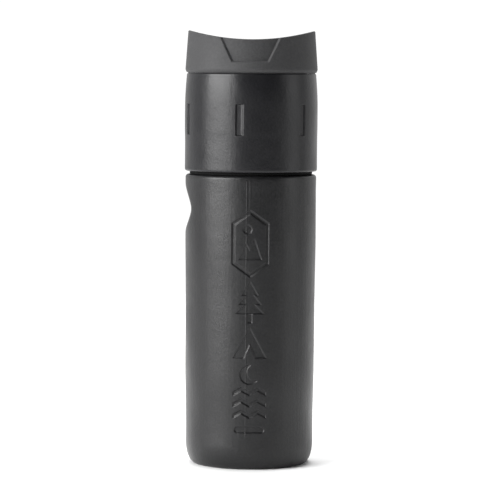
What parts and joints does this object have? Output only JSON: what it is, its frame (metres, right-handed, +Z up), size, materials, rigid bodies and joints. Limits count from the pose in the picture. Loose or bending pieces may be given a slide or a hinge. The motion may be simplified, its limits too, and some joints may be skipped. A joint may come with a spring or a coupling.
{
  "type": "bear spray canister",
  "caption": "Tall black screw-top canister for a bicycle bottle cage, with threaded collar, saddle-topped cap, cage notch and foam lining for a bear spray can.",
  "frame": {"origin": "middle of the foot ring under the base, on the surface it stands on", "axes": "+Z up the canister to the cap; the front with the pressed signs faces -Y; the cage notch is on the -X side"},
  "size_m": [0.0758, 0.0758, 0.2475],
  "materials": {
    "body_plastic": "satin blow-moulded polyethylene with a fine grain",
    "collar_plastic": "semi-gloss moulded polypropylene",
    "cap_plastic": "matt fine-textured moulding",
    "inner_plastic": "plain satin moulding",
    "seal_rubber": "smooth seal rubber",
    "soft_rubber": "soft moulded elastomer",
    "foam": "closed-cell foam"
  },
  "bodies": {
    "canister": {"body": "body_plastic", "base_pad": "foam", "liner_sleeve": "foam"},
    "neck_seal": {"neck_gasket": "seal_rubber"},
    "collar": {"collar_shell": "collar_plastic", "thread_ring": "inner_plastic", "centring_ring": "soft_rubber"},
    "cap_seal": {"cap_gasket": "seal_rubber"},
    "cap": {"cap_shell": "cap_plastic", "cap_core": "inner_plastic", "cap_pad": "foam"}
  },
  "joints": [
    {"name": "collar_lift", "type": "slide", "parent": "canister", "child": "neck_seal", "axis": [0, 0, 1], "range_m": [0, 0.0151]},
    {"name": "collar_turn", "type": "hinge", "parent": "neck_seal", "child": "collar", "pos_m": [0, 0, 0], "axis": [0, 0, 1], "range_deg": [0, 270]},
    {"name": "cap_lift", "type": "slide", "parent": "collar", "child": "cap_seal", "axis": [0, 0, 1], "range_m": [0, 0.0151]},
    {"name": "cap_turn", "type": "hinge", "parent": "cap_seal", "child": "cap", "pos_m": [0, 0, 0], "axis": [0, 0, 1], "range_deg": [0, 270]}
  ],
  "couplings": [
    {"joint": "collar_lift", "follows": "collar_turn", "m_per_rad": 0.0031831},
    {"joint": "cap_lift", "follows": "cap_turn", "m_per_rad": 0.0031831}
  ]
}
